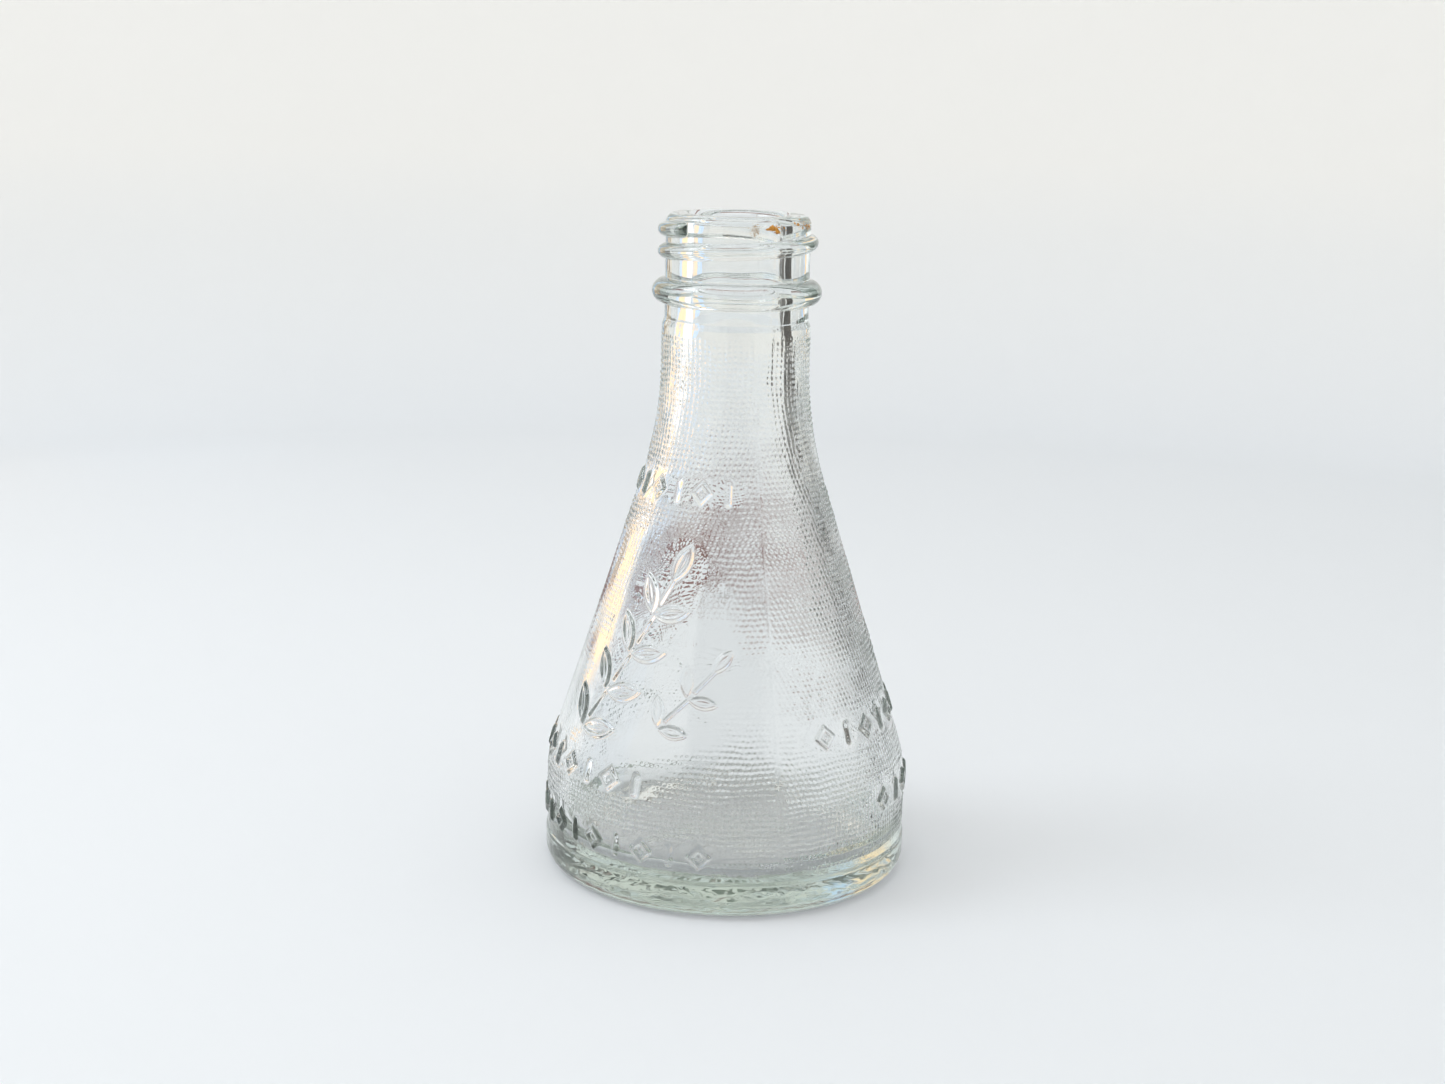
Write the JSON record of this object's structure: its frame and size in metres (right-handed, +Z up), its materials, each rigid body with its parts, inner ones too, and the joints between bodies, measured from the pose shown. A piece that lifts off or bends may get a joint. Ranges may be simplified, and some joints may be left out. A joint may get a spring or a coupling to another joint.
{
  "type": "conical screw-neck bottle",
  "caption": "Small open conical bottle of clear moulded glass, with an external screw thread, a bead under it, a flared neck and a thick base.",
  "frame": {"origin": "on the bottle's axis, in the plane of the base ring that it stands on", "axes": "+Z up along the bottle's axis towards the mouth, -Y the front, +X to the right of the front"},
  "size_m": [0.0558, 0.0557, 0.0992],
  "materials": {
    "clear_glass": "clear moulded glass with a faint green-grey cast, glossy, a fine cloth-like pattern on the neck and body"
  },
  "bodies": {
    "root": {"glass_bottle": "clear_glass"}
  },
  "joints": []
}
